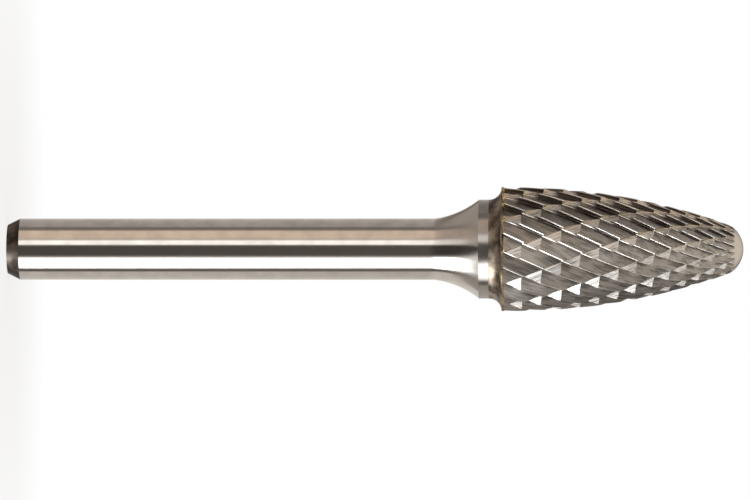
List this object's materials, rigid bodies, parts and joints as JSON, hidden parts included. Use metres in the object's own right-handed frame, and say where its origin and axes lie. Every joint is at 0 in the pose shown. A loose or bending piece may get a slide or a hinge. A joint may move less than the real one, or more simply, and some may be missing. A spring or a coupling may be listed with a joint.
{
  "type": "carbide burr",
  "caption": "Double-cut rotary cutting tool: a straight round steel shank flares to a collar that carries a brazed, round-nosed tree-shaped carbide head with crossed helical teeth.",
  "frame": {"origin": "centre of the shank's flat end face", "axes": "+Z along the tool's axis from the shank's end to the nose"},
  "size_m": [0.0128, 0.0128, 0.0762],
  "materials": {
    "steel": "polished",
    "braze": "satin",
    "carbide": "satin"
  },
  "bodies": {
    "root": {"shank": "steel", "braze_joint": "braze", "carbide_head": "carbide"}
  },
  "joints": []
}
